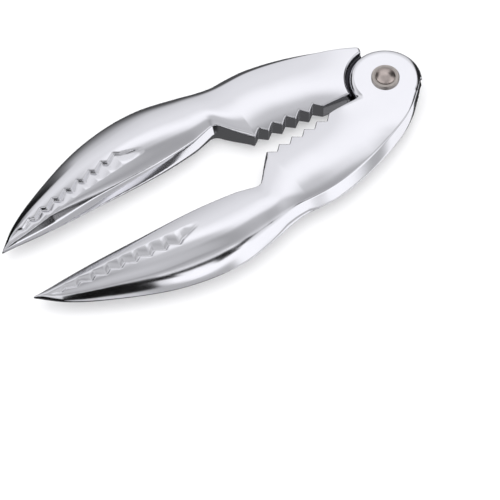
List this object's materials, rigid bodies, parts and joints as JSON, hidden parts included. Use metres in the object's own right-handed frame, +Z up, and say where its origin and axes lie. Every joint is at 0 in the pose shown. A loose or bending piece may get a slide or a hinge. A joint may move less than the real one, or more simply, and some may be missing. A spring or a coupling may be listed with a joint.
{
  "type": "lobster cracker",
  "caption": "Hand cracker for lobster and crab shells: claw-shaped chrome-plated arms with toothed jaws turn on a rivet in a fork-and-tongue hinge.",
  "frame": {"origin": "on the rivet's axis, in the plane the cracker lies on, which is the flat lower face of the rivet", "axes": "+Z up along the rivet's axis; the arms point along -X; the closing plane of the jaws is the XZ plane, with the fork arm on the -Y side"},
  "size_m": [0.1898, 0.0868, 0.0148],
  "materials": {
    "fork_arm_chrome": "polished",
    "tongue_arm_chrome": "polished",
    "rivet_steel": "satin",
    "washer_steel": "satin"
  },
  "bodies": {
    "fork_arm": {"fork_arm": "fork_arm_chrome", "rivet": "rivet_steel", "washer": "washer_steel"},
    "tongue_arm": {"tongue_arm": "tongue_arm_chrome"}
  },
  "joints": [
    {"name": "arm_hinge", "type": "hinge", "parent": "fork_arm", "child": "tongue_arm", "pos_m": [0, 0, 0.0074], "axis": [0, 0, -1], "range_deg": [-7.7, 100]}
  ]
}
